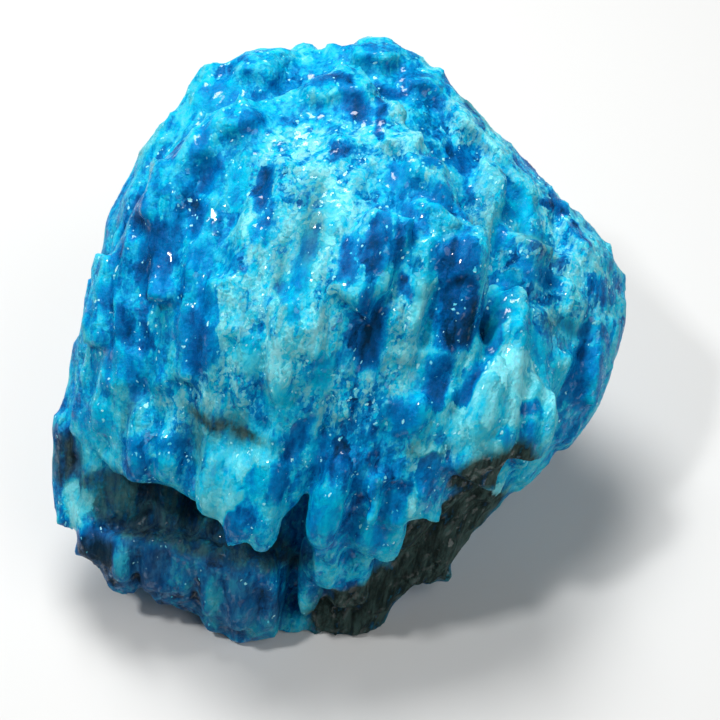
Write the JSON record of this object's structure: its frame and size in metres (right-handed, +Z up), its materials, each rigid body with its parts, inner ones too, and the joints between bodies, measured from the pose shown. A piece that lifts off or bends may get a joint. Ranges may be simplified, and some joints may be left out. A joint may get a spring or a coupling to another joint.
{
  "type": "raw blue apatite crystal specimen",
  "caption": "Raw fist-sized lump of bright blue massive apatite: a bundle of near-parallel prisms with an overhanging ledge, clefts and pits, lying on a flat break.",
  "frame": {"origin": "middle of the bottom of the part's bounding box, in the plane of the flat break that it lies on", "axes": "+X to the right across the broad face, the longest extent; +Z up, the shortest extent; the broad face looks towards -Y and leans back 40 degrees"},
  "size_m": [0.0792, 0.0672, 0.0563],
  "materials": {
    "apatite": "glossy broken faces, translucent blue with paler granular bands and dull grey-green fill in the hollows"
  },
  "bodies": {
    "root": {"blue_apatite_crystal": "apatite"}
  },
  "joints": []
}
